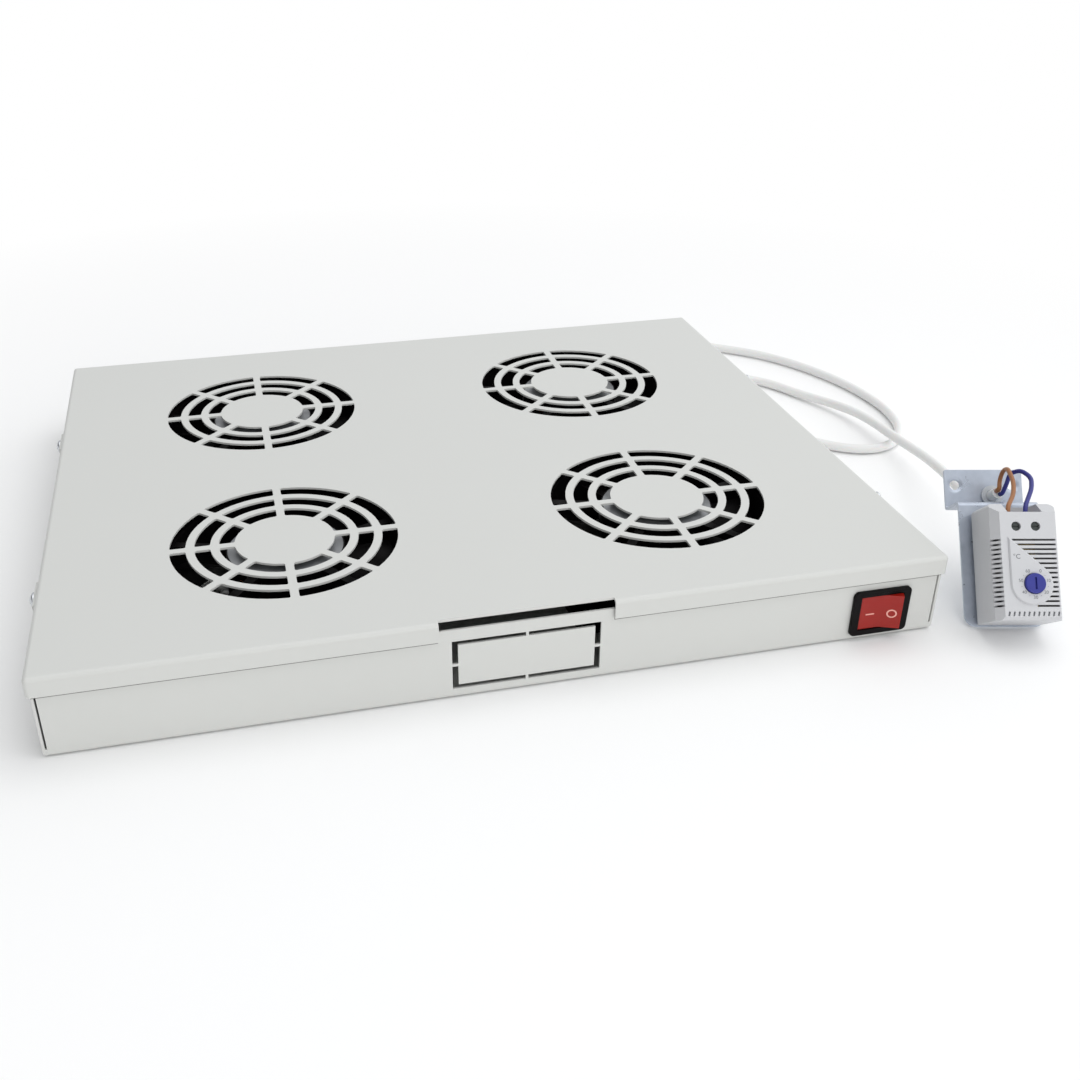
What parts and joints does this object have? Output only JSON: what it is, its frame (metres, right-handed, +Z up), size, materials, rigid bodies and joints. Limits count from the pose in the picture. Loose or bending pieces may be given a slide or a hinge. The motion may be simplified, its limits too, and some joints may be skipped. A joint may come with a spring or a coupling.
{
  "type": "rack fan tray",
  "caption": "Flat rack fan tray in folded sheet metal with grilled axial fans, a rocker switch, a mains inlet and a dial thermostat on a bent bracket at the end of a white cord",
  "frame": {"origin": "centre of the tray's underside, on the surface that the tray rests on", "axes": "+X to the right along the front wall, +Y from the front to the back, +Z up through the cover"},
  "size_m": [0.5578, 0.4613, 0.0693],
  "materials": {
    "coated_sheet": "light grey powder coat, fine satin texture",
    "black_plastic": "black moulded nylon, slightly satin",
    "red_plastic": "red translucent rocker, glossy",
    "plated_steel": "bright zinc-plated fasteners",
    "zinc_sheet": "zinc-plated sheet steel, faint rolling lines",
    "grey_plastic": "light grey moulded housing",
    "blue_plastic": "dark blue dial",
    "white_pvc": "white PVC sheath",
    "brown_pvc": "brown PVC insulation",
    "blue_pvc": "blue PVC insulation",
    "black_rubber": "black rubber bush",
    "brass_contact": "tinned brass contacts",
    "copper_winding": "enamelled copper windings",
    "foil_plate": "dark printed hub plate"
  },
  "bodies": {
    "tray": {"base_tray": "coated_sheet", "bimetal_post": "grey_plastic", "block_rivets": "plated_steel", "case_screws": "plated_steel", "cord_bush": "black_rubber", "cord_cores": "brown_pvc", "cord_gland": "white_pvc", "cord_sheath_end": "white_pvc", "cord_tail": "white_pvc", "cover_nuts": "plated_steel", "cover_screws": "plated_steel", "fan_frame_back_left": "black_plastic", "fan_frame_back_right": "black_plastic", "fan_frame_front_left": "black_plastic", "fan_frame_front_right": "black_plastic", "fan_leads": "black_rubber", "fan_nuts": "plated_steel", "fan_stator_back_left": "copper_winding", "fan_stator_back_right": "copper_winding", "fan_stator_front_left": "copper_winding", "fan_stator_front_right": "copper_winding", "fan_studs": "plated_steel", "gland_nut": "white_pvc", "hub_plates": "foil_plate", "inlet_leads": "blue_pvc", "inlet_nuts": "plated_steel", "inlet_pins": "plated_steel", "inlet_screws": "plated_steel", "mains_inlet": "black_plastic", "switch_housing": "black_plastic", "switch_leads": "brown_pvc", "switch_terminals": "brass_contact", "terminal_block": "white_pvc", "terminal_screws": "plated_steel", "thermostat_back": "grey_plastic", "thermostat_bimetal": "brass_contact", "thermostat_bracket": "zinc_sheet", "thermostat_clamps": "brass_contact", "thermostat_cord": "white_pvc", "thermostat_front": "grey_plastic", "thermostat_terminal_screws": "plated_steel", "top_cover": "coated_sheet", "wire_blue": "blue_pvc", "wire_brown": "brown_pvc"},
    "switch_rocker": {"switch_rocker": "red_plastic"},
    "thermostat_dial": {"thermostat_dial": "blue_plastic"},
    "fan_rotor_front_left": {"fan_rotor_front_left": "black_plastic", "fan_shaft_front_left": "plated_steel"},
    "fan_rotor_front_right": {"fan_rotor_front_right": "black_plastic", "fan_shaft_front_right": "plated_steel"},
    "fan_rotor_back_left": {"fan_rotor_back_left": "black_plastic", "fan_shaft_back_left": "plated_steel"},
    "fan_rotor_back_right": {"fan_rotor_back_right": "black_plastic", "fan_shaft_back_right": "plated_steel"}
  },
  "joints": [
    {"name": "fan_front_left_spin", "type": "hinge", "parent": "tray", "child": "fan_rotor_front_left", "pos_m": [-0.1, -0.0875, 0.0212], "axis": [0, 0, 1], "continuous": true},
    {"name": "fan_front_right_spin", "type": "hinge", "parent": "tray", "child": "fan_rotor_front_right", "pos_m": [0.1, -0.0875, 0.0212], "axis": [0, 0, 1], "continuous": true},
    {"name": "fan_back_left_spin", "type": "hinge", "parent": "tray", "child": "fan_rotor_back_left", "pos_m": [-0.1, 0.0805, 0.0212], "axis": [0, 0, 1], "continuous": true},
    {"name": "fan_back_right_spin", "type": "hinge", "parent": "tray", "child": "fan_rotor_back_right", "pos_m": [0.1, 0.0805, 0.0212], "axis": [0, 0, 1], "continuous": true},
    {"name": "switch_rocker_tip", "type": "hinge", "parent": "tray", "child": "switch_rocker", "pos_m": [0.1855, -0.1819, 0.016], "axis": [0, 0, 1], "range_deg": [0, 22]},
    {"name": "thermostat_dial_turn", "type": "hinge", "parent": "tray", "child": "thermostat_dial", "pos_m": [0.25444, -0.20407, 0.03439], "axis": [-0.1869, -0.7611, 0.6211], "range_deg": [-150, 150]}
  ]
}
